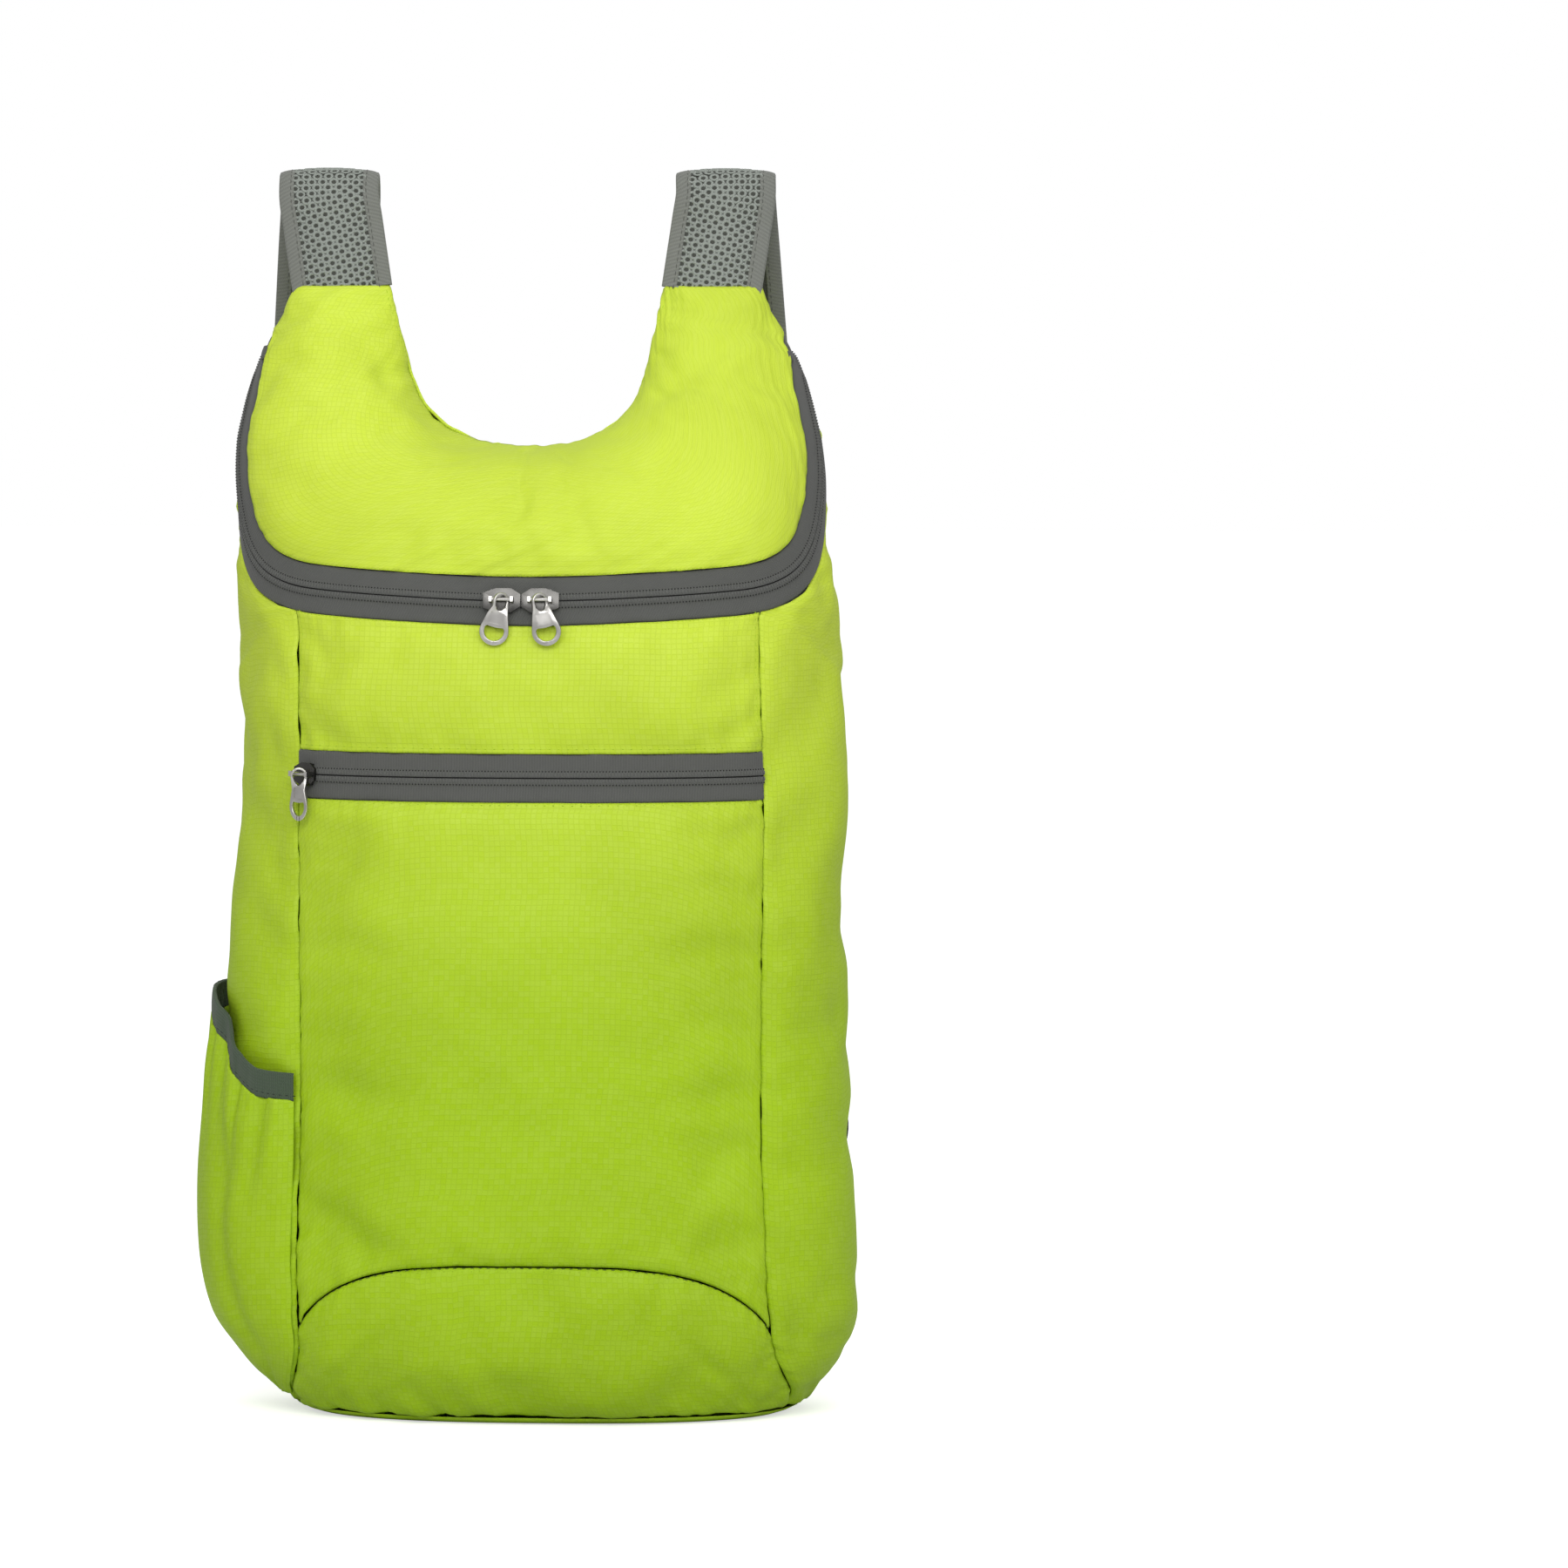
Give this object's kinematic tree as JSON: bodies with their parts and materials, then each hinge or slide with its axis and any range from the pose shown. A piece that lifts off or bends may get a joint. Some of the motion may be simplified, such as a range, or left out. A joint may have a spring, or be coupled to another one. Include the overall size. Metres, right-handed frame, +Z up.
{
  "type": "packable backpack",
  "caption": "Lightweight fold-away backpack in ripstop cloth with an arched main zip, a front zip pocket, a gathered side pocket and folded padded straps.",
  "frame": {"origin": "middle of the flat underside of the base, on the floor the bag stands on", "axes": "+Z up from base to strap tops, -Y the front with the zips, +X the right of the front view"},
  "size_m": [0.2777, 0.1656, 0.5138],
  "materials": {
    "lime_cloth": "thin ripstop nylon with a satin sheen and a fine grid",
    "zip_tape": "ribbed woven tape, matt",
    "zip_coil": "nylon coil under a woven edge",
    "zip_metal": "satin gunmetal-toned die-cast metal",
    "strap_mesh": "padded air mesh with small round holes",
    "strap_edging": "woven binding, matt",
    "elastic": "ribbed elastic binding, matt",
    "webbing": "flat woven webbing, matt",
    "buckle_plastic": "moulded plastic, matt"
  },
  "bodies": {
    "bag": {"lid": "lime_cloth", "upper_front_panel": "lime_cloth", "lower_front_panel": "lime_cloth", "front_base_panel": "lime_cloth", "gusset_left": "lime_cloth", "gusset_right": "lime_cloth", "back_panel": "lime_cloth", "base_panel": "lime_cloth", "side_pocket": "lime_cloth", "main_zip_tape_upper": "zip_tape", "main_zip_tape_lower": "zip_tape", "main_zip_coil": "zip_coil", "pocket_zip_tape_upper": "zip_tape", "pocket_zip_tape_lower": "zip_tape", "pocket_zip_coil": "zip_coil", "main_left_slider": "zip_metal", "main_right_slider": "zip_metal", "pocket_zip_slider": "zip_metal", "side_pocket_binding": "elastic", "strap_pad_left": "strap_mesh", "strap_edging_outer_left": "strap_edging", "strap_edging_inner_left": "strap_edging", "strap_loop_left": "strap_edging", "buckle_left": "buckle_plastic", "webbing_left": "webbing", "strap_pad_right": "strap_mesh", "strap_edging_outer_right": "strap_edging", "strap_edging_inner_right": "strap_edging", "strap_loop_right": "strap_edging", "buckle_right": "buckle_plastic", "webbing_right": "webbing"},
    "main_left_pull": {"main_left_pull": "zip_metal"},
    "main_right_pull": {"main_right_pull": "zip_metal"},
    "pocket_zip_pull": {"pocket_zip_pull": "zip_metal"}
  },
  "joints": [
    {"name": "main_left_pull_swing", "type": "hinge", "parent": "bag", "child": "main_left_pull", "pos_m": [-0.01048, -0.05389, 0.34118], "axis": [-1, 0, 0], "range_deg": [0, 150]},
    {"name": "main_right_pull_swing", "type": "hinge", "parent": "bag", "child": "main_right_pull", "pos_m": [0.00528, -0.05392, 0.34115], "axis": [-1, 0, 0], "range_deg": [0, 150]},
    {"name": "pocket_zip_pull_swing", "type": "hinge", "parent": "bag", "child": "pocket_zip_pull", "pos_m": [-0.09458, -0.04353, 0.26842], "axis": [-0.811, 0.585, 0], "range_deg": [0, 150]}
  ]
}
